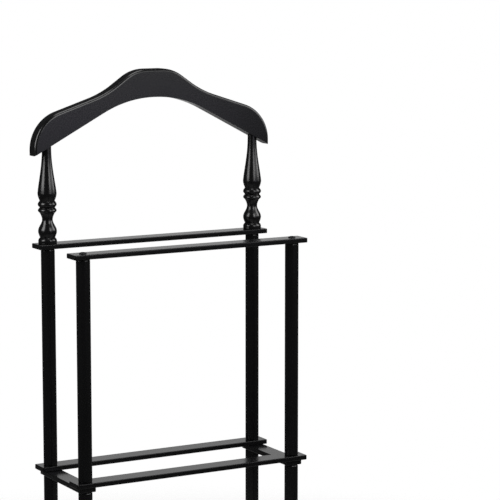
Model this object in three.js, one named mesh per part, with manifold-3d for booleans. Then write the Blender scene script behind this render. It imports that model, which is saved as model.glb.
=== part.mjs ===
// Double valet stand of black lacquered wood, a knock-down frame bolted together at every level.
// Millimetres, +Z up. It stands on z = 0, its footprint is centred on the origin, its front faces -Y
// and its trouser bars run along X. The rear frame is taller and ends in a contoured coat hanger on
// two turned posts. The front frame ends in a second trouser bar at the height of the first.

import * as THREE from "three";
import { mergeVertices } from "three/addons/utils/BufferGeometryUtils.js";
import Module from "manifold-3d";

// The length of the hanger, which sets how far apart the posts stand
const hangerLength = 441;

// Frame: the places of the four post axes and the plain round posts between the levels
const postFromHangerTip = 26.5;
const postSpacingDeep = 136;
const postDiameter = 23;
const postLength = 366;
const postEndChamfer = 1.6;

// Cross boards: both trouser bars and every slat are the same board
const boardOverhang = 21.5;
const boardWidth = 33;
const boardThickness = 8;
const boardCorner = 1.6;
const boardEdge = 0.7;

// Side rails under the middle slats
const sideRailWidth = 29;
const sideRailThickness = 8.5;
const sideRailOverhang = 10.5;

// Base runners, which carry the shoe slats and spread the footprint
const runnerLength = 300;
const runnerWidth = 33;
const runnerThickness = 22;
const runnerNoseRadius = 16;
const runnerEdge = 1.2;

// Glides under the ends of the runners
const glideDiameter = 20;
const glideThickness = 5;
const glidePinDiameter = 4;
const glidePinLength = 12;
const glideInset = 26;

// Turned post, foot to shoulder: the diameter of each member at its fullest or thinnest
const collarDiameter = 31;
const collarEdge = 1;
const collarGrooveDiameter = 24.8;
const vaseDiameter = 31;
const waistDiameter = 17.6;
const beadRootDiameter = 24.8;
const lowerBeadDiameter = 31;
const beadGrooveDiameter = 24.8;
const upperBeadDiameter = 31.2;
const bulbGrooveDiameter = 24.8;
const bulbDiameter = 31.6;
const neckDiameter = 15.4;

// Turned post, foot to shoulder: the height that each member takes up
const collarHeight = 5;
const collarCoveHeight = 5.4;
const vaseSwellHeight = 10.6;
const vaseTaperHeight = 19;
const waistFlareHeight = 11.2;
const lowerBeadRise = 4;
const lowerBeadFall = 4.9;
const upperBeadRise = 5.2;
const upperBeadFall = 5.9;
const bulbSwellHeight = 12.8;
const bulbTaperHeight = 73.6;
const bulbTaperPower = 1.2;
const neckStraightHeight = 2.5;

// Tenon on the shoulder of the turned post, glued into the hanger
const tenonDiameter = 8;
const tenonLength = 18;

// Hanger: one board cut to a shoulder line, lowest points at its tips, measured down from its crown
const hangerThickness = 25;
const crownHalfWidth = 34.6;
const crownRadius = 68;
const crownDepth = 47;
const shoulderFromCentre = 91;
const shoulderDrop = 38.9;
const shoulderRadius = 163;
const armDrop = 80.8;
const armEndRadius = 65;
const archHalfWidth = 50.4;
const archRadius = 200;
const archSlope = 0.526;
const tipRadius = 2.5;
const hangerRoundover = 4.5;
const hangerSocketDepth = 7;

// Hardware: M6 bolts and studs in threaded inserts
const boltDiameter = 6;
const insertDiameter = 10;
const insertLength = 14;
const boltReach = 17;
const capHeadDiameter = 13;
const capHeadHeight = 2.6;
const baseHeadDiameter = 11;
const baseHeadHeight = 4;
const screwDiameter = 4;
const screwHeadDiameter = 8;
const screwReach = 16;

// Clearances: on a diameter for what slides in a hole, and at the blind end of a bore
const holeClearance = 0.6;
const insertClearance = 0.3;
const endClearance = 0.3;
const boreRelief = 3;

// Facets round a full turn, and steps of an arc or an edge
const turnedFacets = 24;
const postFacets = 16;
const hardwareFacets = 10;
const hangerArcSteps = 5;
const hangerRoundoverSteps = 2;
const runnerNoseSteps = 3;
const capHeadSteps = 4;

// A cut runs this far past the face that it opens, and corners closer than the weld are one
const overcut = 1;
const weld = 1e-4;

// Heights of the seats, floor to crown
const runnerBottom = glideThickness;
const baseSlatBottom = runnerBottom + runnerThickness;
const lowerPostBottom = baseSlatBottom + boardThickness;
const sideRailBottom = lowerPostBottom + postLength;
const middleSlatBottom = sideRailBottom + sideRailThickness;
const upperPostBottom = middleSlatBottom + boardThickness;
const barBottom = upperPostBottom + postLength;
const turnedPostBottom = barBottom + boardThickness;

const axisX = hangerLength / 2 - postFromHangerTip;
const axisY = postSpacingDeep / 2;
const boardLength = 2 * (axisX + boardOverhang);
const sides = [["left", -axisX], ["right", axisX]];
const rows = [["front", -axisY], ["rear", axisY]];

const lacqueredWood = new THREE.MeshStandardMaterial({ color: 0x17171a, roughness: 0.32, metalness: 0 });
const blackSteel = new THREE.MeshStandardMaterial({ color: 0x0c0c0d, roughness: 0.4, metalness: 0.6 });
const zincSteel = new THREE.MeshStandardMaterial({ color: 0xa9abad, roughness: 0.35, metalness: 1 });
const blackPlastic = new THREE.MeshStandardMaterial({ color: 0x1b1b1c, roughness: 0.7, metalness: 0 });

const wasm = await Module();
wasm.setup();

const stand = new THREE.Group();

function place(name, geometry, material, x, y, z) {
  const mesh = new THREE.Mesh(geometry, material);
  mesh.name = name;
  mesh.position.set(x, y, z);
  stand.add(mesh);
}

// Solid of revolution about Z from an outline of radius and height, drawn from the foot upwards
function turn(outline, facets) {
  const points = outline.map(([radius, height]) => new THREE.Vector2(radius, height));
  const geometry = new THREE.LatheGeometry(points, facets);
  geometry.rotateX(Math.PI / 2);
  return geometry;
}

// Closed mesh to a solid for cutting and joining, and back
function toSolid(geometry) {
  const bare = geometry.clone();
  bare.deleteAttribute("normal");
  bare.deleteAttribute("uv");
  const merged = mergeVertices(bare, weld);
  const corners = merged.index.array;
  const triangles = [];
  for (let i = 0; i < corners.length; i += 3) {
    const [a, b, c] = [corners[i], corners[i + 1], corners[i + 2]];
    if (a !== b && b !== c && c !== a) triangles.push(a, b, c);
  }
  const vertProperties = new Float32Array(merged.attributes.position.array);
  const triVerts = new Uint32Array(triangles);
  return new wasm.Manifold(new wasm.Mesh({ numProp: 3, vertProperties, triVerts }));
}

function toGeometry(solid) {
  const mesh = solid.getMesh();
  const geometry = new THREE.BufferGeometry();
  geometry.setAttribute("position", new THREE.BufferAttribute(new Float32Array(mesh.vertProperties), 3));
  geometry.setIndex(new THREE.BufferAttribute(new Uint32Array(mesh.triVerts), 1));
  geometry.computeVertexNormals();
  return geometry;
}

// Upright cylinder that a cut is made with
function drill(diameter, bottom, top, x, y, facets = hardwareFacets) {
  const geometry = new THREE.CylinderGeometry(diameter / 2, diameter / 2, top - bottom, facets);
  geometry.rotateX(Math.PI / 2);
  geometry.translate(x, y, (bottom + top) / 2);
  return toSolid(geometry);
}

// Flat board with rounded corners and eased edges, lying along X on z = 0. It is drilled through on its
// centre line, at the given diameters and places
function board(length, width, thickness, holes) {
  const shape = new THREE.Shape();
  const [x, y, r] = [length / 2, width / 2, boardCorner];
  shape.moveTo(-x + r, -y);
  shape.lineTo(x - r, -y);
  shape.absarc(x - r, -y + r, r, -Math.PI / 2, 0);
  shape.lineTo(x, y - r);
  shape.absarc(x - r, y - r, r, 0, Math.PI / 2);
  shape.lineTo(-x + r, y);
  shape.absarc(-x + r, y - r, r, Math.PI / 2, Math.PI);
  shape.lineTo(-x, -y + r);
  shape.absarc(-x + r, -y + r, r, Math.PI, Math.PI * 1.5);
  const solid = toSolid(ease(shape, thickness, boardEdge, 1, 1));
  const drilled = holes.reduce((rest, [diameter, hx]) => {
    return rest.subtract(drill(diameter, -overcut, thickness + overcut, hx, 0));
  }, solid);
  return toGeometry(drilled);
}

// Outline extruded upwards from z = 0 to its thickness, both faces eased by the given edge, if any
function ease(shape, thickness, edge, steps, curveSegments) {
  const geometry = new THREE.ExtrudeGeometry(shape, {
    depth: thickness - 2 * edge,
    bevelEnabled: edge > 0,
    bevelThickness: edge,
    bevelSize: edge,
    bevelOffset: -edge,
    bevelSegments: steps,
    curveSegments,
  });
  geometry.translate(0, 0, edge);
  return geometry;
}

// Cross board with a bolt hole over each post axis
function crossBoard() {
  const holes = sides.map(([, x]) => [boltDiameter + holeClearance, x]);
  return board(boardLength, boardWidth, boardThickness, holes);
}

// Side rail, laid along Y, with a bolt hole on each post axis
function sideRail() {
  const length = postSpacingDeep + 2 * sideRailOverhang;
  const holes = rows.map(([, y]) => [boltDiameter + holeClearance, y]);
  const geometry = board(length, sideRailWidth, sideRailThickness, holes);
  geometry.rotateZ(Math.PI / 2);
  return geometry;
}

// Stepped bore for an insert and the bolt that runs on past it, as an outline from the axis outwards
function insertBore(end, inwards) {
  const pilot = (boltDiameter + holeClearance) / 2;
  const seat = (insertDiameter + insertClearance) / 2;
  return [
    [0, end + inwards * (boltReach + boreRelief)],
    [pilot, end + inwards * (boltReach + boreRelief)],
    [pilot, end + inwards * (insertLength + endClearance)],
    [seat, end + inwards * (insertLength + endClearance)],
    [seat, end],
  ];
}

// Plain round post with chamfered ends and an insert bore in each
function roundPost() {
  const radius = postDiameter / 2;
  return turn([
    ...insertBore(0, 1),
    [radius - postEndChamfer, 0],
    [radius, postEndChamfer],
    [radius, postLength - postEndChamfer],
    [radius - postEndChamfer, postLength],
    ...insertBore(postLength, -1).reverse(),
  ], postFacets);
}

// How far across a member of a turned outline has come, at a given share of its height
const swell = (share) => Math.sin((share * Math.PI) / 2);
const hollow = (share) => 1 - Math.cos((share * Math.PI) / 2);
const ogee = (share) => (1 - Math.cos(share * Math.PI)) / 2;
const taper = (share) => swell(share) ** bulbTaperPower;
const dome = (share) => 1 - Math.sqrt(1 - share ** 2);

// Points of one member of a turned outline, after its first
function member(from, to, law, steps) {
  const points = [];
  for (let step = 1; step <= steps; step += 1) {
    const share = step / steps;
    points.push([from[0] + (to[0] - from[0]) * law(share), from[1] + (to[1] - from[1]) * share]);
  }
  return points;
}

// Members of the turned post above its collar: end diameter, height, law of its curve and its steps
const neckHeight = neckStraightHeight + hangerSocketDepth;
const members = [
  [collarGrooveDiameter, collarCoveHeight, hollow, 3],
  [vaseDiameter, vaseSwellHeight, swell, 4],
  [waistDiameter, vaseTaperHeight, ogee, 6],
  [beadRootDiameter, waistFlareHeight, hollow, 4],
  [lowerBeadDiameter, lowerBeadRise, swell, 3],
  [beadGrooveDiameter, lowerBeadFall, hollow, 3],
  [upperBeadDiameter, upperBeadRise, swell, 3],
  [bulbGrooveDiameter, upperBeadFall, hollow, 3],
  [bulbDiameter, bulbSwellHeight, swell, 4],
  [neckDiameter, bulbTaperHeight, taper, 7],
  [neckDiameter, neckHeight, swell, 1],
];
const shoulderLevel = members.reduce((level, [, height]) => level + height, collarHeight);

// Turned post: collar, vase, waist, two beads, bulb and a long neck with a tenon at its end
function turnedPost() {
  const collar = collarDiameter / 2;
  const tenon = tenonDiameter / 2;
  let point = [collar, collarHeight];
  const outline = [...insertBore(0, 1), [collar - collarEdge, 0], [collar, collarEdge], point];
  for (const [diameter, height, law, steps] of members) {
    const next = [diameter / 2, point[1] + height];
    outline.push(...member(point, next, law, steps));
    point = next;
  }
  const tenonEnd = shoulderLevel + tenonLength;
  return turn([...outline, [tenon, shoulderLevel], [tenon, tenonEnd], [0, tenonEnd]], turnedFacets);
}

// Corner of a closed outline, with the directions and lengths of the edges that meet in it and the
// length of each edge that its arc takes up
function cornerAt(corners, index) {
  const count = corners.length;
  const [before, corner, after] = [index - 1, index, index + 1].map((i) => {
    return new THREE.Vector2(...corners[(i + count) % count]);
  });
  const back = before.sub(corner);
  const on = after.sub(corner);
  const [backLength, onLength] = [back.length(), on.length()];
  back.normalize();
  on.normalize();
  const half = Math.acos(back.dot(on)) / 2;
  const radius = corners[index][2];
  return { corner, back, on, backLength, onLength, half, radius, reach: radius / Math.tan(half) };
}

// Closed outline whose corners are rounded by arcs. Two arcs that meet on an edge share its length
function roundedOutline(corners) {
  const shape = new THREE.Shape();
  const cut = corners.map((_, index) => cornerAt(corners, index));
  cut.forEach(({ corner, back, on, backLength, onLength, half, radius, reach }, index) => {
    const last = cut[(index + cut.length - 1) % cut.length];
    const next = cut[(index + 1) % cut.length];
    const share = Math.min(1, backLength / (last.reach + reach), onLength / (reach + next.reach));
    const start = corner.clone().addScaledVector(back, reach * share);
    const end = corner.clone().addScaledVector(on, reach * share);
    const bisector = back.clone().add(on).normalize();
    const centre = corner.clone().addScaledVector(bisector, (radius * share) / Math.sin(half));
    const clockwise = back.cross(on) > 0;
    const [from, to] = [start.sub(centre).angle(), end.sub(centre).angle()];
    shape.absarc(centre.x, centre.y, radius * share, from, to, clockwise);
  });
  shape.closePath();
  return shape;
}

// Side view of the hanger, crown at height 0. Its lower edge is moved down where extra is given
function hangerOutline(extra) {
  const end = hangerLength / 2;
  const under = -crownDepth - extra;
  const tip = under - archSlope * (end - archHalfWidth);
  const half = [
    [crownHalfWidth, 0, crownRadius],
    [shoulderFromCentre, -shoulderDrop, shoulderRadius],
    [end, -armDrop, armEndRadius],
    [end, tip, tipRadius + extra],
    [archHalfWidth, under, archRadius],
  ];
  const mirrored = half.map(([x, z, r]) => [-x, z, r]).reverse();
  return roundedOutline([...half, ...mirrored].reverse());
}

// Height of the hanger's underside on the post axis, below its crown
const hangerUnderside = -crownDepth - archSlope * (axisX - archHalfWidth);
const socketFloor = hangerUnderside + hangerSocketDepth;

// Hanger: rounded over along its top and ends, crisp below, with a stepped socket over each post
function hanger() {
  const standing = new THREE.Matrix4().makeRotationX(Math.PI / 2);
  standing.setPosition(0, hangerThickness / 2, 0);
  const deeper = hangerOutline(2 * hangerRoundover);
  const rounded = ease(deeper, hangerThickness, hangerRoundover, hangerRoundoverSteps, hangerArcSteps);
  const flat = ease(hangerOutline(0), hangerThickness, 0, 0, hangerArcSteps);
  let solid = toSolid(rounded.applyMatrix4(standing)).intersect(toSolid(flat.applyMatrix4(standing)));
  for (const [, x] of sides) {
    const lip = hangerUnderside - neckDiameter;
    const tenonTop = socketFloor + tenonLength;
    solid = solid.subtract(drill(neckDiameter + holeClearance, lip, socketFloor, x, 0, turnedFacets));
    solid = solid.subtract(drill(tenonDiameter + holeClearance, lip, tenonTop, x, 0, turnedFacets));
  }
  return toGeometry(solid);
}

// Depth that the head of a base bolt is sunk to in the underside of its runner
const counterbore = baseHeadHeight + boreRelief;

// Base runner: a rail along Y with rounded noses, drilled for the base bolts, glides and slat screw
function runner() {
  const shape = new THREE.Shape();
  const [y, z, r] = [runnerLength / 2, runnerThickness, runnerNoseRadius];
  shape.moveTo(-y, 0);
  shape.lineTo(y, 0);
  shape.lineTo(y, z - r);
  shape.absarc(y - r, z - r, r, 0, Math.PI / 2);
  shape.lineTo(-y + r, z);
  shape.absarc(-y + r, z - r, r, Math.PI / 2, Math.PI);
  const lying = ease(shape, runnerWidth, runnerEdge, 1, runnerNoseSteps);
  const upright = new THREE.Matrix4().set(0, 0, 1, -runnerWidth / 2, 1, 0, 0, 0, 0, 1, 0, 0, 0, 0, 0, 1);
  lying.applyMatrix4(upright);
  let solid = toSolid(lying);
  for (const [, boltY] of rows) {
    const headBore = baseHeadDiameter + 2 * holeClearance;
    solid = solid.subtract(drill(boltDiameter + holeClearance, -overcut, z + overcut, 0, boltY));
    solid = solid.subtract(drill(headBore, -overcut, counterbore, 0, boltY));
  }
  for (const glideY of [-y + glideInset, y - glideInset]) {
    const pinBore = glidePinDiameter + insertClearance;
    solid = solid.subtract(drill(pinBore, -overcut, glidePinLength + endClearance, 0, glideY));
  }
  const pilotFloor = z - screwReach - endClearance;
  const pilot = drill(screwDiameter + insertClearance, pilotFloor, z + overcut, 0, 0);
  return toGeometry(solid.subtract(pilot));
}

// Threaded insert: a sleeve flush with the end of the post, open at both ends
function insert() {
  const inner = (boltDiameter + insertClearance) / 2;
  const outer = insertDiameter / 2;
  return turn([
    [inner, 0], [outer, 0], [outer, insertLength], [inner, insertLength], [inner, 0],
  ], hardwareFacets);
}

// Plain stud with chamfered ends
function stud(length) {
  const radius = boltDiameter / 2;
  const chamfer = boltDiameter / 8;
  return turn([
    [0, 0], [radius - chamfer, 0], [radius, chamfer],
    [radius, length - chamfer], [radius - chamfer, length], [0, length],
  ], hardwareFacets);
}

// Cap bolt: shank below z = 0 and a low domed head on it
function capBolt(shankLength) {
  const radius = boltDiameter / 2;
  const head = capHeadDiameter / 2;
  const rim = capHeadHeight / 4;
  return turn([
    [0, -shankLength], [radius, -shankLength], [radius, 0], [head, 0], [head, rim],
    ...member([head, rim], [0, capHeadHeight], dome, capHeadSteps),
  ], hardwareFacets);
}

// Base bolt: a cylinder head below z = 0 and its shank above it
function baseBolt(shankLength) {
  const radius = boltDiameter / 2;
  const head = baseHeadDiameter / 2;
  return turn([
    [0, -baseHeadHeight], [head, -baseHeadHeight], [head, 0],
    [radius, 0], [radius, shankLength], [0, shankLength],
  ], hardwareFacets);
}

// Countersunk wood screw, its head flush with z = 0
function slatScrew() {
  const radius = screwDiameter / 2;
  const head = screwHeadDiameter / 2;
  const length = boardThickness + screwReach;
  const flank = head - radius;
  return turn([
    [0, -length], [radius, -length + 2 * radius], [radius, -flank], [head, 0], [0, 0],
  ], hardwareFacets);
}

// Glide: a plastic disc with a soft lower edge and a pin up into the runner
function glide() {
  const radius = glideDiameter / 2;
  const edge = glideThickness / 4;
  const pin = glidePinDiameter / 2;
  return turn([
    [0, 0], [radius - edge, 0], [radius, edge], [radius, glideThickness],
    [pin, glideThickness], [pin, glideThickness + glidePinLength], [0, glideThickness + glidePinLength],
  ], hardwareFacets);
}

// Base: runners on glides, with a front, a middle and a rear slat for shoes
for (const [side, x] of sides) {
  place(`base_runner_${side}`, runner(), lacqueredWood, x, 0, runnerBottom);
  const glideY = runnerLength / 2 - glideInset;
  place(`glide_front_${side}`, glide(), blackPlastic, x, -glideY, 0);
  place(`glide_rear_${side}`, glide(), blackPlastic, x, glideY, 0);
  place(`slat_screw_${side}`, slatScrew(), blackSteel, x, 0, lowerPostBottom);
}
for (const [row, y] of rows) {
  place(`base_slat_${row}`, crossBoard(), lacqueredWood, 0, y, baseSlatBottom);
}

// The middle slat is countersunk for its screws instead of drilled for bolts
function middleBaseSlat() {
  const head = screwHeadDiameter / 2 + insertClearance;
  const radius = screwDiameter / 2 + insertClearance;
  const flank = head - radius;
  const holes = sides.map(([, x]) => [2 * radius, x]);
  let solid = toSolid(board(boardLength, boardWidth, boardThickness, holes));
  for (const [, x] of sides) {
    const cone = new THREE.CylinderGeometry(head + overcut, radius, flank + overcut, hardwareFacets);
    cone.rotateX(Math.PI / 2);
    cone.translate(x, 0, boardThickness + (overcut - flank) / 2);
    solid = solid.subtract(toSolid(cone));
  }
  return toGeometry(solid);
}
place("base_slat_middle", middleBaseSlat(), lacqueredWood, 0, 0, baseSlatBottom);

// Middle level: side rails on the lower posts, with a front and a rear slat across them
for (const [side, x] of sides) {
  place(`side_rail_${side}`, sideRail(), lacqueredWood, x, 0, sideRailBottom);
}
for (const [row, y] of rows) {
  place(`middle_slat_${row}`, crossBoard(), lacqueredWood, 0, y, middleSlatBottom);
}

// Top level: the two trouser bars and the hanger
place("trouser_bar_front", crossBoard(), lacqueredWood, 0, -axisY, barBottom);
place("trouser_bar_rear", crossBoard(), lacqueredWood, 0, axisY, barBottom);
const crownHeight = turnedPostBottom + shoulderLevel + endClearance - socketFloor;
place("hanger", hanger(), lacqueredWood, 0, axisY, crownHeight);

// Posts between the levels, an insert in each end, and the bolt or stud that draws each joint together
const middleStudLength = 2 * boltReach + sideRailThickness + boardThickness;
const topStudLength = 2 * boltReach + boardThickness;
const baseShankLength = runnerThickness - counterbore + boardThickness + boltReach;
for (const [row, y] of rows) {
  for (const [side, x] of sides) {
    const corner = `${row}_${side}`;
    place(`lower_post_${corner}`, roundPost(), lacqueredWood, x, y, lowerPostBottom);
    place(`upper_post_${corner}`, roundPost(), lacqueredWood, x, y, upperPostBottom);
    place(`insert_lower_foot_${corner}`, insert(), zincSteel, x, y, lowerPostBottom);
    place(`insert_lower_head_${corner}`, insert(), zincSteel, x, y, sideRailBottom - insertLength);
    place(`insert_upper_foot_${corner}`, insert(), zincSteel, x, y, upperPostBottom);
    place(`insert_upper_head_${corner}`, insert(), zincSteel, x, y, barBottom - insertLength);
    place(`base_bolt_${corner}`, baseBolt(baseShankLength), blackSteel, x, y, runnerBottom + counterbore);
    place(`middle_stud_${corner}`, stud(middleStudLength), zincSteel, x, y, sideRailBottom - boltReach);
  }
}
for (const [side, x] of sides) {
  const shank = boardThickness + boltReach;
  place(`cap_bolt_${side}`, capBolt(shank), blackSteel, x, -axisY, turnedPostBottom);
  place(`top_stud_${side}`, stud(topStudLength), zincSteel, x, axisY, barBottom - boltReach);
  place(`turned_post_${side}`, turnedPost(), lacqueredWood, x, axisY, turnedPostBottom);
  place(`insert_turned_${side}`, insert(), zincSteel, x, axisY, turnedPostBottom);
}

export default stand;
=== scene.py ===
import math

import bpy
from mathutils import Matrix, Vector


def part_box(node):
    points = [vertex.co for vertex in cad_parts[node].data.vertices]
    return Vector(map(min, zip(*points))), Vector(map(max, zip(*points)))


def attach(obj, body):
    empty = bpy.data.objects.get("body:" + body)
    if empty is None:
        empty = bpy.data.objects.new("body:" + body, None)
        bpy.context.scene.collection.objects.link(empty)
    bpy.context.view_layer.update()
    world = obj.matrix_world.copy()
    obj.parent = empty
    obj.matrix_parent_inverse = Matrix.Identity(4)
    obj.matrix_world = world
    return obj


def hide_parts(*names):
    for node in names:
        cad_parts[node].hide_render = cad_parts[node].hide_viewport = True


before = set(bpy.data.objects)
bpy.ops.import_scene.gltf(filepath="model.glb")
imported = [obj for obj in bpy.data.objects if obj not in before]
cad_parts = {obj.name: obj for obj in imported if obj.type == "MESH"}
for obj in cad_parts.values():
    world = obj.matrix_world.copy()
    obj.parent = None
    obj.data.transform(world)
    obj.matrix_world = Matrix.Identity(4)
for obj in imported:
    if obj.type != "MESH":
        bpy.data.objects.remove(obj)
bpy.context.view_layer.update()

# Camera: it stands to the left of the stand and above its trouser bars, as in the photograph, whose
# lower edge cuts the stand off just below its middle level.
picture_width = 500
focal_length = 2223.8
sensor_width = 36
camera_place = (-1.6936, -3.2650, 1.2990)
camera_yaw = math.radians(29.472)
camera_dip = math.radians(8.107)

lens = bpy.data.cameras.new("camera")
lens.sensor_width = sensor_width
lens.lens = focal_length / picture_width * sensor_width
camera = bpy.data.objects.new("camera", lens)
camera.location = camera_place
camera.rotation_euler = (math.pi / 2 - camera_dip, 0, -camera_yaw)
bpy.context.scene.collection.objects.link(camera)
bpy.context.scene.camera = camera
bpy.context.scene.view_settings.view_transform = "Standard"

# Studio: white all round for the camera. On the stand falls the dim light of a room, and its gloss
# mirrors the dark of that room and a pale stretch of floor far behind the stand.
room_light = 0.4
room_gloss = 0.04
far_floor_gloss = 0.22
far_floor_side = (0.5, 0.9)
far_floor_near = (-0.48, -0.40)
far_floor_end = (-0.28, -0.22)


def add_node(nodes, kind, values=None, **settings):
    """A shader node with its settings and the values of its inputs."""
    node = nodes.new("ShaderNode" + kind)
    for name, value in settings.items():
        setattr(node, name, value)
    for socket, value in (values or {}).items():
        node.inputs[socket].default_value = value
    return node


def map_range(nodes, low, high, start, end, kind="LINEAR"):
    """A node that carries the range low to high over to the range start to end."""
    values = {"From Min": low, "From Max": high, "To Min": start, "To Max": end}
    return add_node(nodes, "MapRange", values, interpolation_type=kind)


world = bpy.data.worlds.new("studio")
world.use_nodes = True
bpy.context.scene.world = world
nodes = world.node_tree.nodes
join = world.node_tree.links.new
path = add_node(nodes, "LightPath")
direction = add_node(nodes, "TexCoord")
away_from_camera = (math.sin(camera_yaw), math.cos(camera_yaw), 0)
ahead = add_node(nodes, "VectorMath", {1: away_from_camera}, operation="DOT_PRODUCT")
split = add_node(nodes, "SeparateXYZ")
across_floor = map_range(nodes, *far_floor_side, 0, 1, "SMOOTHSTEP")
past_near = map_range(nodes, *far_floor_near, 0, 1, "SMOOTHSTEP")
before_end = map_range(nodes, *far_floor_end, 1, 0, "SMOOTHSTEP")
along_floor = add_node(nodes, "Math", operation="MULTIPLY")
on_far_floor = add_node(nodes, "Math", operation="MULTIPLY")
mirrored = map_range(nodes, 0, 1, room_gloss, far_floor_gloss)
seen_in_gloss = add_node(nodes, "Mix", {"A": room_light}, data_type="FLOAT")
seen_directly = add_node(nodes, "Math", operation="MAXIMUM")
strength = add_node(nodes, "Mix", {"B": 1}, data_type="FLOAT")
join(direction.outputs["Generated"], ahead.inputs[0])
join(direction.outputs["Generated"], split.inputs["Vector"])
join(ahead.outputs["Value"], across_floor.inputs["Value"])
join(split.outputs["Z"], past_near.inputs["Value"])
join(split.outputs["Z"], before_end.inputs["Value"])
join(past_near.outputs["Result"], along_floor.inputs[0])
join(before_end.outputs["Result"], along_floor.inputs[1])
join(across_floor.outputs["Result"], on_far_floor.inputs[0])
join(along_floor.outputs["Value"], on_far_floor.inputs[1])
join(on_far_floor.outputs["Value"], mirrored.inputs["Value"])
join(path.outputs["Is Glossy Ray"], seen_in_gloss.inputs["Factor"])
join(mirrored.outputs["Result"], seen_in_gloss.inputs["B"])
join(path.outputs["Is Camera Ray"], seen_directly.inputs[0])
join(path.outputs["Is Transmission Ray"], seen_directly.inputs[1])
join(seen_directly.outputs["Value"], strength.inputs["Factor"])
join(seen_in_gloss.outputs["Result"], strength.inputs["A"])
join(strength.outputs["Result"], nodes["Background"].inputs["Strength"])
nodes["Background"].inputs["Color"].default_value = (1, 1, 1, 1)

# Softboxes: upright ones to the left, to the right and in front of the stand, with a low strip and a
# dim card below them, a white card behind and a softbox overhead. The upright ones hang above the
# hanger's tips, so that they light the turned posts in streaks and leave the plain posts dark.
plain_white = (1, 1, 1)
softboxes = [
    ("softbox_left", (-1.399, -0.049, 1.55), (0, 0, 1.55), 0.80, 1.10, 5.4, plain_white),
    ("softbox_right", (1.298, -0.524, 1.54), (0, 0, 1.54), 0.62, 1.12, 4.6, plain_white),
    ("softbox_between", (0.862, -1.103, 1.62), (0, 0, 1.62), 0.80, 0.70, 1.4, plain_white),
    ("softbox_front", (0.219, -1.383, 1.575), (0, 0, 1.575), 0.45, 1.05, 5.0, plain_white),
    ("strip_front", (0.862, -1.103, 1.165), (0, 0, 1.165), 0.85, 0.17, 2.4, plain_white),
    ("card_front", (0.456, -1.324, 0.86), (0, 0, 0.86), 0.85, 0.20, 0.62, (0.96, 0.93, 1.18)),
    ("card_behind", (0.70, 1.212, 0.875), (0, 0, 0.875), 0.90, 0.56, 0.58, plain_white),
    ("softbox_above", (0.05, 0, 2.65), (0.05, 0, 0), 0.8, 1.2, 3.6, plain_white),
]
for name, place, aim, width, height, radiance, tint in softboxes:
    panel = bpy.data.lights.new(name, "AREA")
    panel.shape = "RECTANGLE"
    panel.size = width
    panel.size_y = height
    panel.energy = radiance * math.pi * width * height
    panel.color = tint
    lamp = bpy.data.objects.new(name, panel)
    lamp.location = place
    lamp.rotation_euler = (Vector(aim) - Vector(place)).to_track_quat("-Z", "Y").to_euler()
    lamp.visible_camera = False
    bpy.context.scene.collection.objects.link(lamp)

# Floor: a pale round mat that fades into the white background before its rim, and that a camera
# below it looks through.
floor_radius = 1.5
floor_facets = 96
floor_fade_starts = 0.75
floor_white = 0.9
floor_in_gloss = 0.25


def colour_between(nodes, first, second):
    """A mix from one colour to another."""
    return add_node(nodes, "Mix", {"A": (*first, 1), "B": (*second, 1)}, data_type="RGBA")


bpy.ops.object.select_all(action="DESELECT")
bpy.ops.mesh.primitive_circle_add(vertices=floor_facets, radius=floor_radius, fill_type="NGON")
floor = bpy.context.object
floor.name = "floor"
paper = bpy.data.materials.new("pale_floor")
paper.use_nodes = True
nodes = paper.node_tree.nodes
join = paper.node_tree.links.new
nodes.clear()
place_on_floor = add_node(nodes, "TexCoord")
from_middle = add_node(nodes, "VectorMath", operation="LENGTH")
fade = map_range(nodes, floor_fade_starts, floor_radius, 0, 1, "SMOOTHSTEP")
below = add_node(nodes, "NewGeometry")
unseen = add_node(nodes, "Math", operation="MAXIMUM")
matte = add_node(nodes, "BsdfDiffuse")
floor_tone = colour_between(nodes, (floor_white,) * 3, (floor_in_gloss,) * 3)
floor_path = add_node(nodes, "LightPath")
clear = add_node(nodes, "BsdfTransparent")
blend = add_node(nodes, "MixShader")
surface = add_node(nodes, "OutputMaterial")
join(place_on_floor.outputs["Object"], from_middle.inputs[0])
join(from_middle.outputs["Value"], fade.inputs["Value"])
join(fade.outputs["Result"], unseen.inputs[0])
join(below.outputs["Backfacing"], unseen.inputs[1])
join(unseen.outputs["Value"], blend.inputs["Fac"])
join(floor_path.outputs["Is Glossy Ray"], floor_tone.inputs["Factor"])
join(floor_tone.outputs["Result"], matte.inputs["Color"])
join(matte.outputs["BSDF"], blend.inputs[1])
join(clear.outputs["BSDF"], blend.inputs[2])
join(blend.outputs["Shader"], surface.inputs["Surface"])
floor.data.materials.append(paper)

# Base runners: two solid rails of black lacquered wood that lie front to back, with rounded noses.
# Each is bored from below for two bolts with sunk heads and for the pins of two glides, and from
# above for the screw of the middle slat.
runner_nose_radius = 0.016
runner_edge = 0.0014
bolt_hole = 0.0033
base_head_bore = 0.0061
base_head_depth = 0.007
glide_pin_bore = 0.00215
glide_pin_gap = 0.0003
slat_screw_bore = 0.00215
slat_screw_depth = 0.0163
over = 0.001
merge_reach = 1e-6
weld_reach = 2e-6
same_level = 1e-5
bore_facets = 32
flat_under = 35
sides = ("left", "right")
rows = ("front", "rear")


def centre(node):
    """The middle of a CAD node's box."""
    low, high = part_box(node)
    return (low + high) / 2


def start_line(name, point):
    """A new piece that starts as one vertex, selected in edit mode, from which its outline is drawn."""
    bpy.ops.object.select_all(action="DESELECT")
    bpy.ops.mesh.primitive_plane_add(size=1)
    piece = bpy.context.object
    piece.name = name
    bpy.ops.object.mode_set(mode="EDIT")
    bpy.ops.mesh.merge(type="CENTER")
    bpy.ops.transform.translate(value=point)
    return piece


def draw_to(start, point):
    """Extrudes the selected vertex at start to point."""
    step = Vector(point) - Vector(start)
    bpy.ops.mesh.extrude_region_move(TRANSFORM_OT_translate={"value": step})
    return Vector(point)


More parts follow.
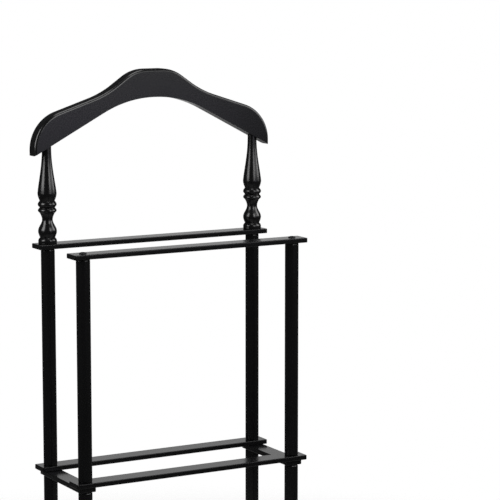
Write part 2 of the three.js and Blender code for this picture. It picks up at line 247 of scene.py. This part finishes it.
def draw_rounded(name, corners, axis, steps):
    """A face with the given outline. Each corner is its place and its radius, 0 for a sharp one."""
    piece = None
    for index, (corner, radius) in enumerate(corners):
        corner = Vector(corner)
        back = (Vector(corners[index - 1][0]) - corner).normalized()
        on = (Vector(corners[(index + 1) % len(corners)][0]) - corner).normalized()
        half = back.angle(on) / 2
        reach = radius / math.tan(half)
        start = corner + back * reach
        if piece is None:
            piece = start_line(name, start)
            first = start
            pen = start
        else:
            pen = draw_to(pen, start)
        if radius:
            middle = corner + (back + on).normalized() * (radius / math.sin(half))
            side = 1 if back.cross(on).dot(axis) > 0 else -1
            turn = side * (math.pi - 2 * half)
            bpy.ops.mesh.spin(steps=steps, angle=turn, center=middle, axis=axis)
            pen = corner + on * reach
    draw_to(pen, first)
    bpy.ops.mesh.select_all(action="SELECT")
    bpy.ops.mesh.remove_doubles(threshold=merge_reach)
    bpy.ops.mesh.edge_face_add()
    return piece


def thicken(piece, way):
    """Extrudes the face that was just drawn and turns all faces outwards."""
    bpy.ops.mesh.select_all(action="SELECT")
    bpy.ops.mesh.extrude_region_move(TRANSFORM_OT_translate={"value": way})
    bpy.ops.mesh.select_all(action="SELECT")
    bpy.ops.mesh.normals_make_consistent(inside=False)
    bpy.ops.object.mode_set(mode="OBJECT")


def make_active(piece):
    """Selects the piece alone and makes it the active one."""
    bpy.ops.object.select_all(action="DESELECT")
    piece.select_set(True)
    bpy.context.view_layer.objects.active = piece


def soften(piece, wanted, radius, segments):
    """Bevels the edges whose two ends both answer to the wanted test."""
    make_active(piece)
    bpy.ops.object.mode_set(mode="EDIT")
    bpy.ops.mesh.select_mode(type="EDGE")
    bpy.ops.mesh.select_all(action="DESELECT")
    bpy.ops.object.mode_set(mode="OBJECT")
    for edge in piece.data.edges:
        first, second = [piece.data.vertices[index].co for index in edge.vertices]
        edge.select = wanted(first, second)
    bpy.ops.object.mode_set(mode="EDIT")
    bpy.ops.mesh.bevel(offset=radius, segments=segments, profile=0.5, affect="EDGES")
    bpy.ops.mesh.select_mode(type="VERT")
    bpy.ops.object.mode_set(mode="OBJECT")


def use_modifier(piece, kind, **values):
    """Adds a modifier with its settings and applies it."""
    modifier = piece.modifiers.new(kind.lower(), kind)
    for key, value in values.items():
        setattr(modifier, key, value)
    make_active(piece)
    bpy.ops.object.modifier_apply(modifier=modifier.name)


def cut_away(piece, cutter):
    """Takes the cutter's shape out of the piece, and the cutter out of the scene."""
    use_modifier(piece, "BOOLEAN", operation="DIFFERENCE", solver="EXACT", object=cutter)
    use_modifier(piece, "WELD", merge_threshold=weld_reach)
    bpy.data.objects.remove(cutter)


def bore(piece, radius, low, high, x, y, upper_radius=None, facets=bore_facets):
    """Cuts a round hole along Z, or a tapered or six-sided one."""
    bpy.ops.object.select_all(action="DESELECT")
    bpy.ops.mesh.primitive_cone_add(
        vertices=facets,
        radius1=radius,
        radius2=upper_radius or radius,
        depth=high - low,
        location=(x, y, (low + high) / 2),
    )
    cut_away(piece, bpy.context.object)


def smooth(piece, angle=flat_under):
    """Shades the rounded faces smooth and keeps the flat ones flat."""
    make_active(piece)
    bpy.ops.object.transform_apply(location=True, rotation=True, scale=True)
    bpy.ops.object.shade_smooth_by_angle(angle=math.radians(angle))
    use_modifier(piece, "WEIGHTED_NORMAL", keep_sharp=True)


def hand_over(piece, made_for, nodes, material):
    """Puts the piece in the place of its node, and a copy with its own mesh in that of each like one."""
    for node, name in nodes.items():
        part = piece
        if node != made_for:
            mesh = piece.data.copy()
            mesh.transform(Matrix.Translation(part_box(node)[0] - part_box(made_for)[0]))
            part = bpy.data.objects.new(name, mesh)
            bpy.context.scene.collection.objects.link(part)
        part.name = name
        part.data.name = name
        part.data.materials.clear()
        part.data.materials.append(material)
        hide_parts(node)
        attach(part, "root")


grain_scale = (9, 260, 260)
pore_scale = (70, 1500, 1500)
peel_scale = 650
cloud_scale = 11
grain_relief = 0.000012
peel_relief = 0.000002
grain_levels = (0.3, 0.7)
tone_range = (0.15, 0.85)
pore_levels = (0.62, 0.72)
pore_darkness = 0.35
gloss_swing = 0.06
lacquer_index = 1.5


def lacquer_skin_group():
    """Satin black lacquer over wood: faint grain and pores along X, orange peel, and a cloudy gloss."""
    group = bpy.data.node_groups.new("lacquer_skin", "ShaderNodeTree")
    sockets = group.interface.new_socket
    sockets("Place", in_out="INPUT", socket_type="NodeSocketVector")
    for label, start in [("Grain", 1.0), ("Gloss", 0.33), ("Cloud", gloss_swing)]:
        sockets(label, in_out="INPUT", socket_type="NodeSocketFloat").default_value = start
    sockets("Tone", in_out="OUTPUT", socket_type="NodeSocketFloat")
    sockets("Roughness", in_out="OUTPUT", socket_type="NodeSocketFloat")
    sockets("Normal", in_out="OUTPUT", socket_type="NodeSocketVector")
    nodes = group.nodes
    join = group.links.new
    given = nodes.new("NodeGroupInput")
    made = nodes.new("NodeGroupOutput")

    grain_stretch = add_node(nodes, "Mapping", {"Scale": grain_scale})
    grain = add_node(nodes, "TexNoise", {"Scale": 1, "Detail": 2, "Roughness": 0.5, "Distortion": 0.4})
    pore_stretch = add_node(nodes, "Mapping", {"Scale": pore_scale})
    pores = add_node(nodes, "TexNoise", {"Scale": 1, "Detail": 1})
    peel = add_node(nodes, "TexNoise", {"Scale": peel_scale, "Detail": 1})
    cloud = add_node(nodes, "TexNoise", {"Scale": cloud_scale, "Detail": 3})
    for stretch, texture in [(grain_stretch, grain), (pore_stretch, pores)]:
        join(given.outputs["Place"], stretch.inputs["Vector"])
        join(stretch.outputs["Vector"], texture.inputs["Vector"])
    for texture in (peel, cloud):
        join(given.outputs["Place"], texture.inputs["Vector"])

    grain_height = add_node(nodes, "Math", operation="MULTIPLY")
    grain_bump = add_node(nodes, "Bump", {"Strength": 1, "Distance": grain_relief})
    peel_bump = add_node(nodes, "Bump", {"Strength": 1, "Distance": peel_relief})
    join(grain.outputs["Fac"], grain_height.inputs[0])
    join(given.outputs["Grain"], grain_height.inputs[1])
    join(grain_height.outputs["Value"], grain_bump.inputs["Height"])
    join(peel.outputs["Fac"], peel_bump.inputs["Height"])
    join(grain_bump.outputs["Normal"], peel_bump.inputs["Normal"])
    join(peel_bump.outputs["Normal"], made.inputs["Normal"])

    tone = map_range(nodes, *grain_levels, *tone_range)
    pore_mask = map_range(nodes, *pore_levels, 0, pore_darkness)
    darker = add_node(nodes, "Math", operation="SUBTRACT", use_clamp=True)
    join(grain.outputs["Fac"], tone.inputs["Value"])
    join(pores.outputs["Fac"], pore_mask.inputs["Value"])
    join(tone.outputs["Result"], darker.inputs[0])
    join(pore_mask.outputs["Result"], darker.inputs[1])
    join(darker.outputs["Value"], made.inputs["Tone"])

    swing = add_node(nodes, "Math", {1: 0.5}, operation="SUBTRACT")
    scaled = add_node(nodes, "Math", operation="MULTIPLY_ADD")
    join(cloud.outputs["Fac"], swing.inputs[0])
    join(swing.outputs["Value"], scaled.inputs[0])
    join(given.outputs["Cloud"], scaled.inputs[1])
    join(given.outputs["Gloss"], scaled.inputs[2])
    join(scaled.outputs["Value"], made.inputs["Roughness"])
    return group


lacquer_skin = lacquer_skin_group()


def start_material(name):
    """A new material with its Principled shader, its nodes, and the call that links two sockets."""
    material = bpy.data.materials.new(name)
    material.use_nodes = True
    nodes = material.node_tree.nodes
    return material, nodes["Principled BSDF"], nodes, material.node_tree.links.new


def lacquer(name, grain_turn, dark, light, grain, gloss):
    """Lacquered wood whose grain runs along X before the turn."""
    material, shader, nodes, join = start_material(name)
    shader.inputs["IOR"].default_value = lacquer_index
    coordinates = add_node(nodes, "TexCoord")
    turn = add_node(nodes, "Mapping", {"Rotation": grain_turn})
    skin = nodes.new("ShaderNodeGroup")
    skin.node_tree = lacquer_skin
    skin.inputs["Grain"].default_value = grain
    skin.inputs["Gloss"].default_value = gloss
    colour = colour_between(nodes, dark, light)
    join(coordinates.outputs["Object"], turn.inputs["Vector"])
    join(turn.outputs["Vector"], skin.inputs["Place"])
    join(skin.outputs["Tone"], colour.inputs["Factor"])
    join(colour.outputs["Result"], shader.inputs["Base Color"])
    join(skin.outputs["Roughness"], shader.inputs["Roughness"])
    join(skin.outputs["Normal"], shader.inputs["Normal"])
    return material


lacquer_black = (0.0024, 0.0024, 0.0026)
lacquer_grey = (0.0036, 0.0036, 0.0039)
grain_along_x = (0, 0, 0)
grain_along_y = (0, 0, math.pi / 2)
grain_upright = (0, math.pi / 2, 0)
rail_lacquer = lacquer("rail_lacquer", grain_along_y, lacquer_black, lacquer_grey, grain=0.6, gloss=0.20)

low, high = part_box("base_runner_left")
side_view = [
    ((low.x, low.y, low.z), 0),
    ((low.x, high.y, low.z), 0),
    ((low.x, high.y, high.z), runner_nose_radius),
    ((low.x, low.y, high.z), runner_nose_radius),
]
runner = draw_rounded("runner", side_view, Vector((1, 0, 0)), steps=12)
thicken(runner, (high.x - low.x, 0, 0))
soften(runner, lambda a, b: abs(a.x - b.x) < same_level, runner_edge, segments=3)
for row in rows:
    bolt = centre(f"base_bolt_{row}_left")
    pin = centre(f"glide_{row}_left")
    pin_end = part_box(f"glide_{row}_left")[1].z + glide_pin_gap
    bore(runner, bolt_hole, low.z - over, high.z + over, bolt.x, bolt.y)
    bore(runner, base_head_bore, low.z - over, low.z + base_head_depth, bolt.x, bolt.y)
    bore(runner, glide_pin_bore, low.z - over, pin_end, pin.x, pin.y)
screw = centre("slat_screw_left")
bore(runner, slat_screw_bore, high.z - slat_screw_depth, high.z + over, screw.x, screw.y)
smooth(runner)
runners = {f"base_runner_{side}": f"runner_{side}" for side in sides}
hand_over(runner, "base_runner_left", runners, rail_lacquer)

# Glides: moulded black plastic discs with a pin, pushed up into the ends of the runners. They keep
# the wood off the floor.
pin_radius = 0.002
plastic_dark = (0.010, 0.010, 0.010)
plastic_light = (0.022, 0.022, 0.023)
plastic_roughness = (0.5, 0.75)
plastic_relief = 0.00002


def turn_piece(name, outline, foot, steps):
    """A turned piece about the upright axis through foot, from radii and heights above it."""
    points = [foot + Vector((radius, 0, height)) for radius, height in outline]
    piece = start_line(name, points[0])
    pen = points[0]
    for point in points[1:]:
        pen = draw_to(pen, point)
    bpy.ops.mesh.select_all(action="SELECT")
    bpy.ops.mesh.spin(steps=steps, angle=2 * math.pi, center=foot, axis=(0, 0, 1))
    bpy.ops.mesh.select_all(action="SELECT")
    bpy.ops.mesh.remove_doubles(threshold=merge_reach)
    bpy.ops.mesh.normals_make_consistent(inside=False)
    bpy.ops.object.mode_set(mode="OBJECT")
    return piece


def foot_of(node):
    """The lowest point of a CAD node on its upright axis."""
    middle = centre(node)
    return Vector((middle.x, middle.y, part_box(node)[0].z))


def quarter_round(middle, radius, start, steps):
    """Points of a quarter circle in a turned outline, anticlockwise from the start angle in degrees."""
    points = []
    for step in range(steps + 1):
        angle = math.radians(start + 90 * step / steps)
        points.append((middle[0] + radius * math.cos(angle), middle[1] + radius * math.sin(angle)))
    return points


def plastic(name):
    """Moulded black plastic with a fine matte texture."""
    material, shader, nodes, join = start_material(name)
    coordinates = add_node(nodes, "TexCoord")
    spark = add_node(nodes, "TexNoise", {"Scale": 2600, "Detail": 2})
    smear = add_node(nodes, "TexNoise", {"Scale": 160, "Detail": 3})
    bump = add_node(nodes, "Bump", {"Strength": 1, "Distance": plastic_relief})
    roughness = map_range(nodes, 0, 1, *plastic_roughness)
    colour = colour_between(nodes, plastic_dark, plastic_light)
    join(coordinates.outputs["Object"], spark.inputs["Vector"])
    join(coordinates.outputs["Object"], smear.inputs["Vector"])
    join(spark.outputs["Fac"], bump.inputs["Height"])
    join(smear.outputs["Fac"], roughness.inputs["Value"])
    join(smear.outputs["Fac"], colour.inputs["Factor"])
    join(bump.outputs["Normal"], shader.inputs["Normal"])
    join(roughness.outputs["Result"], shader.inputs["Roughness"])
    join(colour.outputs["Result"], shader.inputs["Base Color"])
    return material


glide_plastic = plastic("glide_plastic")
low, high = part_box("glide_front_left")
disc_radius = (high.x - low.x) / 2
disc_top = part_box("base_runner_left")[0].z
disc_edge = disc_top / 4
glide_outline = [
    (0, 0),
    *quarter_round((disc_radius - disc_edge, disc_edge), disc_edge, start=-90, steps=5),
    (disc_radius, disc_top),
    (pin_radius, disc_top),
    (pin_radius, high.z - low.z),
    (0, high.z - low.z),
]
glide = turn_piece("glide", glide_outline, foot_of("glide_front_left"), steps=40)
smooth(glide)
glides = {f"glide_{row}_{side}": f"glide_disc_{row}_{side}" for row in rows for side in sides}
hand_over(glide, "glide_front_left", glides, glide_plastic)

# Base slats: three boards of the same wood across the runners, for shoes. The corners are rounded and
# the edges eased. The front and the rear one have a bolt hole over each runner, and the middle one is
# countersunk for screws.
board_corner = 0.0018
board_edge = 0.0012
screw_hole = 0.0023
screw_sink = 0.0043
board_lacquer = lacquer("board_lacquer", grain_along_x, lacquer_black, lacquer_grey, grain=0.6, gloss=0.20)
post_x = [centre(f"base_runner_{side}").x for side in sides]


def board_piece(name, node, holes, hole_radius):
    """A board the size of its node, drilled through at the given places."""
    low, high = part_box(node)
    bpy.ops.object.select_all(action="DESELECT")
    bpy.ops.mesh.primitive_cube_add(size=1, location=(low + high) / 2, scale=high - low)
    piece = bpy.context.object
    piece.name = name
    bpy.ops.object.transform_apply(location=True, rotation=True, scale=True)
    soften(piece, lambda a, b: abs(a.z - b.z) > same_level, board_corner, segments=4)
    soften(piece, lambda a, b: abs(a.z - b.z) < same_level, board_edge, segments=3)
    for x, y in holes:
        bore(piece, hole_radius, low.z - over, high.z + over, x, y)
    return piece


row_y = centre("base_slat_front").y
board = board_piece("board", "base_slat_front", [(x, row_y) for x in post_x], bolt_hole)
smooth(board)
base_slats = {f"base_slat_{row}": f"slat_base_{row}" for row in rows}
hand_over(board, "base_slat_front", base_slats, board_lacquer)

sunk = board_piece("sunk", "base_slat_middle", [(x, 0) for x in post_x], screw_hole)
slat_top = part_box("base_slat_middle")[1].z
flank = screw_sink - screw_hole
for x in post_x:
    bore(sunk, screw_hole, slat_top - flank, slat_top + over, x, 0, screw_sink + over)
smooth(sunk)
sunk_slat = {"base_slat_middle": "slat_base_middle"}
hand_over(sunk, "base_slat_middle", sunk_slat, board_lacquer)

# Slat screws: blackened steel wood screws through the middle slat into the runners, with a
# countersunk head and a cross recess.
screw_radius = 0.002
screw_root = 0.0014
thread_pitch = 0.0016
thread_start = 0.004
threads = 8
recess_half = 0.0023
recess_floor = 0.0008
recess_blade = 0.0004
recess_depth = 0.0018
steel_black = (0.020, 0.020, 0.021)
steel_grey = (0.045, 0.045, 0.047)
drawn_scale = (500, 500, 4000)
drawn_relief = 0.000008
smear_levels = (0.3, 0.7)


def steel(name, dark, light, smoothest, roughest):
    """Steel with a drawn, slightly uneven surface."""
    material, shader, nodes, join = start_material(name)
    shader.inputs["Metallic"].default_value = 1
    coordinates = add_node(nodes, "TexCoord")
    stretch = add_node(nodes, "Mapping", {"Scale": drawn_scale})
    drawn = add_node(nodes, "TexNoise", {"Scale": 1, "Detail": 2})
    smear = add_node(nodes, "TexNoise", {"Scale": 320, "Detail": 3})
    bump = add_node(nodes, "Bump", {"Strength": 1, "Distance": drawn_relief})
    roughness = map_range(nodes, *smear_levels, smoothest, roughest)
    colour = colour_between(nodes, dark, light)
    join(coordinates.outputs["Object"], stretch.inputs["Vector"])
    join(coordinates.outputs["Object"], smear.inputs["Vector"])
    join(stretch.outputs["Vector"], drawn.inputs["Vector"])
    join(drawn.outputs["Fac"], bump.inputs["Height"])
    join(smear.outputs["Fac"], roughness.inputs["Value"])
    join(smear.outputs["Fac"], colour.inputs["Factor"])
    join(bump.outputs["Normal"], shader.inputs["Normal"])
    join(roughness.outputs["Result"], shader.inputs["Roughness"])
    join(colour.outputs["Result"], shader.inputs["Base Color"])
    return material


black_steel = steel("blackened_steel", steel_black, steel_grey, smoothest=0.28, roughest=0.42)
low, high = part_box("slat_screw_left")
screw_length = high.z - low.z
head_radius = (high.x - low.x) / 2
screw_outline = [(0, 0), (screw_root, thread_start)]
for turn in range(threads):
    height = thread_start + turn * thread_pitch
    screw_outline.append((screw_radius, height + thread_pitch / 2))
    screw_outline.append((screw_root, height + thread_pitch))
screw_outline += [
    (screw_radius, screw_length - (head_radius - screw_radius)),
    (head_radius - recess_blade / 2, screw_length - recess_blade / 2),
    (head_radius - recess_blade / 2, screw_length),
    (0, screw_length),
]
slat_screw = turn_piece("slat_screw", screw_outline, foot_of("slat_screw_left"), steps=32)
middle = centre("slat_screw_left")
for across in (Vector((1, 0, 0)), Vector((0, 1, 0))):
    blade = across.cross(Vector((0, 0, 1)))
    corners = []
    for reach, height in [(1, over), (1, 0), (-1, 0), (-1, over)]:
        width = recess_half if height else recess_floor
        level = high.z + height if height else high.z - recess_depth
        place = Vector((middle.x, middle.y, level)) + across * reach * width - blade * recess_blade
        corners.append((place, 0))
    wedge = draw_rounded("wedge", corners, blade, steps=1)
    thicken(wedge, blade * 2 * recess_blade)
    cut_away(slat_screw, wedge)
smooth(slat_screw)
slat_screws = {f"slat_screw_{side}": f"screw_slat_{side}" for side in sides}
hand_over(slat_screw, "slat_screw_left", slat_screws, black_steel)

# Base bolts: M6 bolts of blackened steel with a low round head and a hexagon socket. They go up
# through the runners and the slats into the feet of the lower posts.
base_head_height = 0.004
head_edge = 0.0006
shank_radius = 0.003
shank_chamfer = 0.0006
socket_radius = 0.0023
socket_depth = 0.0019
socket_flare = 0.0004
socket_sides = 6

low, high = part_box("base_bolt_front_left")
head_radius = (high.x - low.x) / 2
bolt_length = high.z - low.z
base_bolt_outline = [
    (0, 0),
    *quarter_round((head_radius - head_edge, head_edge), head_edge, start=-90, steps=4),
    (head_radius, base_head_height),
    (shank_radius, base_head_height),
    (shank_radius, bolt_length - shank_chamfer),
    (shank_radius - shank_chamfer, bolt_length),
    (0, bolt_length),
]
foot = foot_of("base_bolt_front_left")
base_bolt = turn_piece("base_bolt", base_bolt_outline, foot, steps=40)
socket_top = foot.z + socket_depth
bore(base_bolt, socket_radius, foot.z - over, socket_top, foot.x, foot.y, facets=socket_sides)
smooth(base_bolt)
base_bolts = {f"base_bolt_{row}_{side}": f"bolt_base_{row}_{side}" for row in rows for side in sides}
hand_over(base_bolt, "base_bolt_front_left", base_bolts, black_steel)

# Lower posts: four plain dowels of the same lacquered wood, eased at the foot and rounded over at the
# upper end. Each end is bored for its threaded insert and for the bolt or stud that runs on past it.
post_edge = 0.0016
post_shoulder = 0.0035
insert_bore = 0.00515
insert_bore_depth = 0.0143
bolt_bore_depth = 0.020
post_lacquer = lacquer("post_lacquer", grain_upright, lacquer_black, lacquer_grey, grain=0.5, gloss=0.20)


def insert_bore_outline(end, inwards):
    """The stepped bore at the end of a post, as radii and heights from the axis outwards."""
    return [
        (0, end + inwards * bolt_bore_depth),
        (bolt_hole, end + inwards * bolt_bore_depth),
        (bolt_hole, end + inwards * insert_bore_depth),
        (insert_bore, end + inwards * insert_bore_depth),
        (insert_bore, end),
    ]


low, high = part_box("lower_post_front_left")
post_radius = (high.x - low.x) / 2
post_length = high.z - low.z
shoulder_middle = (post_radius - post_shoulder, post_length - post_shoulder)
post_outline = [
    *insert_bore_outline(0, 1),
    *quarter_round((post_radius - post_edge, post_edge), post_edge, start=-90, steps=4),
    *quarter_round(shoulder_middle, post_shoulder, start=0, steps=8),
    *reversed(insert_bore_outline(post_length, -1)),
]
post = turn_piece("post", post_outline, foot_of("lower_post_front_left"), steps=64)
smooth(post)
lower_posts = {f"lower_post_{row}_{side}": f"post_lower_{row}_{side}" for row in rows for side in sides}
hand_over(post, "lower_post_front_left", lower_posts, post_lacquer)

# Side rails: two shorter boards of the same wood, laid front to back on the lower posts. Studs hold
# them down together with the middle slats.
rail_left_holes = [(post_x[0], row_y), (post_x[0], -row_y)]
side_rail = board_piece("side_rail", "side_rail_left", rail_left_holes, bolt_hole)
smooth(side_rail)
side_rails = {f"side_rail_{side}": f"rail_{side}" for side in sides}
hand_over(side_rail, "side_rail_left", side_rails, rail_lacquer)

# Middle slats: two boards like those of the base, laid across the side rails. They hold shoes or
# folded clothes.
middle_slats = {f"middle_slat_{row}": f"slat_middle_{row}" for row in rows}
hand_over(board, "base_slat_front", middle_slats, board_lacquer)

# Upper posts: four dowels like the lower ones, screwed onto the studs that come up through the
# middle slats.
upper_posts = {f"upper_post_{row}_{side}": f"post_upper_{row}_{side}" for row in rows for side in sides}
hand_over(post, "lower_post_front_left", upper_posts, post_lacquer)

# Trouser bars: two more of the same boards, one across the rear posts and one across the front ones,
# for trousers to hang over.
trouser_bars = {f"trouser_bar_{row}": f"bar_{row}" for row in rows}
hand_over(board, "base_slat_front", trouser_bars, board_lacquer)

# Cap bolts: M6 bolts of blackened steel with a low dome and a hexagon socket. They hold the front bar
# down on its posts.
cap_head_height = 0.0026
cap_rim = 0.0005
dome_steps = 8

low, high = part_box("cap_bolt_left")
cap_radius = (high.x - low.x) / 2
cap_seat = high.z - low.z - cap_head_height
cap_bolt_outline = [
    (0, 0),
    (shank_radius - shank_chamfer, 0),
    (shank_radius, shank_chamfer),
    (shank_radius, cap_seat),
    (cap_radius, cap_seat),
]
for step in range(dome_steps + 1):
    angle = math.pi / 2 * step / dome_steps
    rise = (cap_head_height - cap_rim) * math.sin(angle)
    cap_bolt_outline.append((cap_radius * math.cos(angle), cap_seat + cap_rim + rise))
cap_bolt = turn_piece("cap_bolt", cap_bolt_outline, foot_of("cap_bolt_left"), steps=48)
middle = centre("cap_bolt_left")
for radius, depth, top in [
    (socket_radius, socket_depth, socket_radius),
    (socket_radius, socket_flare, socket_radius + socket_flare + over),
]:
    bore(cap_bolt, radius, high.z - depth, high.z + over, middle.x, middle.y, top, socket_sides)
smooth(cap_bolt)
cap_bolts = {f"cap_bolt_{side}": f"bolt_cap_{side}" for side in sides}
hand_over(cap_bolt, "cap_bolt_left", cap_bolts, black_steel)

# Turned posts: balusters of the same wood, screwed down on the rear bar. Each is turned with a collar,
# a vase, two beads and a bulb, and its long neck ends in a tenon that is glued into the hanger.
turned_steps = 72
member_steps = 9
collar_edge = 0.0012
collar_radius = 0.0155
collar_height = 0.005
neck_radius = 0.0077
neck_taper = 1.2
tenon_radius = 0.004
tenon_length = 0.018
turned_lacquer = lacquer(
    "turned_lacquer", grain_upright, lacquer_black, lacquer_grey, grain=0.25, gloss=0.22
)


def swell(share):
    """Starts steeply and ends level, like the side of a bead."""
    return math.sin(share * math.pi / 2)


def hollow(share):
    """Starts level and ends steeply, like a cove."""
    return 1 - math.cos(share * math.pi / 2)


def ogee(share):
    """Level at both ends and steep between them."""
    return (1 - math.cos(share * math.pi)) / 2


def taper(share):
    """A swell that starts a little more gently, for the long neck."""
    return swell(share) ** neck_taper


# The members above the collar: the radius each one ends at, its height, and its curve.
members = [
    (0.0124, 0.0054, hollow),
    (0.0155, 0.0106, swell),
    (0.0088, 0.0190, ogee),
    (0.0124, 0.0112, hollow),
    (0.0155, 0.0040, swell),
    (0.0124, 0.0049, hollow),
    (0.0156, 0.0052, swell),
    (0.0124, 0.0059, hollow),
    (0.0158, 0.0128, swell),
    (neck_radius, 0.0736, taper),
]
turned_outline = [
    *insert_bore_outline(0, 1),
    *quarter_round((collar_radius - collar_edge, collar_edge), collar_edge, start=-90, steps=3),
    (collar_radius, collar_height),
]
radius, height = collar_radius, collar_height
for end_radius, rise, law in members:
    for step in range(1, member_steps + 1):
        share = step / member_steps
        turned_outline.append((radius + (end_radius - radius) * law(share), height + rise * share))
    radius, height = end_radius, height + rise
low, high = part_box("turned_post_left")
turned_outline += [
    (neck_radius, high.z - low.z - tenon_length),
    (tenon_radius, high.z - low.z - tenon_length),
    (tenon_radius, high.z - low.z),
    (0, high.z - low.z),
]
turned_post = turn_piece("turned_post", turned_outline, foot_of("turned_post_left"), turned_steps)
smooth(turned_post, angle=40)
turned_posts = {f"turned_post_{side}": f"baluster_{side}" for side in sides}
hand_over(turned_post, "turned_post_left", turned_posts, turned_lacquer)

# Hanger: one board of the same wood, sawn to a contoured shoulder line and rounded over along its top
# and its ends. Its underside stays crisp, with a stepped socket over each turned post.
crown_half_width = 0.0346
crown_radius = 0.068
crown_depth = 0.047
shoulder_from_centre = 0.091
shoulder_drop = 0.0389
shoulder_radius = 0.163
arm_drop = 0.0808
arm_end_radius = 0.065
arch_half_width = 0.0504
arch_radius = 0.200
arch_slope = 0.526
tip_radius = 0.0025
roundover = 0.0045
hanger_steps = 24
neck_socket = 0.0080
tenon_socket = 0.0043
glue_gap = 0.0003
saw_margin = 0.03
hanger_lacquer = lacquer(
    "hanger_lacquer", grain_along_x, lacquer_black, lacquer_grey, grain=0.5, gloss=0.22
)

low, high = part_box("hanger")
crown = high.z
hanger_end = high.x
hanger_depth = high.y - low.y
along_y = Vector((0, 1, 0))


def underside(extra):
    """Levels of the hanger's underside at its arch and at its tips, moved down by extra."""
    arch = crown - crown_depth - extra
    return arch, arch - arch_slope * (hanger_end - arch_half_width)


def both_arms(right, y):
    """Corners of a side view: those of the right arm, and the same mirrored for the left one."""
    left = [(-x, z, radius) for x, z, radius in reversed(right)]
    return [((x, y, z), radius) for x, z, radius in [*right, *left]]


arch, tip = underside(2 * roundover)
outline = [
    (crown_half_width, crown, crown_radius),
    (shoulder_from_centre, crown - shoulder_drop, shoulder_radius),
    (hanger_end, crown - arm_drop, arm_end_radius),
    (hanger_end, tip, 0),
    (arch_half_width, arch, arch_radius),
]
hanger = draw_rounded("hanger_board", both_arms(outline, low.y), along_y, hanger_steps)
thicken(hanger, (0, hanger_depth, 0))
soften(hanger, lambda a, b: abs(a.y - b.y) < same_level, roundover, segments=6)

# The underside is sawn last: everything below its line is cut away.
arch, tip = underside(0)
saw_line = [
    (hanger_end + saw_margin, tip - saw_margin, 0),
    (hanger_end + saw_margin, tip + tip_radius, 0),
    (hanger_end, tip + tip_radius, 0),
    (hanger_end, tip, 0),
    (arch_half_width, arch, arch_radius),
]
saw = draw_rounded("saw", both_arms(saw_line, low.y - saw_margin), along_y, hanger_steps)
thicken(saw, (0, hanger_depth + 2 * saw_margin, 0))
cut_away(hanger, saw)
tenon_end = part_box("turned_post_left")[1].z
socket_floor = tenon_end - tenon_length + glue_gap
for x in post_x:
    bore(hanger, neck_socket, socket_floor - saw_margin, socket_floor, x, -row_y)
    bore(hanger, tenon_socket, socket_floor - over, tenon_end + glue_gap, x, -row_y)
smooth(hanger, angle=30)
hand_over(hanger, "hanger", {"hanger": "coat_hanger"}, hanger_lacquer)

# Inserts and studs: M6 threaded sleeves in the ends of the posts and the studs between them, all of
# zinc-plated steel and hidden in the joints. They keep their CAD shapes.
zinc_dark = (0.48, 0.49, 0.50)
zinc_light = (0.62, 0.63, 0.64)
zinc = steel("zinc_plated_steel", zinc_dark, zinc_light, smoothest=0.26, roughest=0.44)
for name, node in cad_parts.items():
    if name.startswith(("insert_", "middle_stud_", "top_stud_")):
        for slot in node.material_slots:
            slot.material = zinc
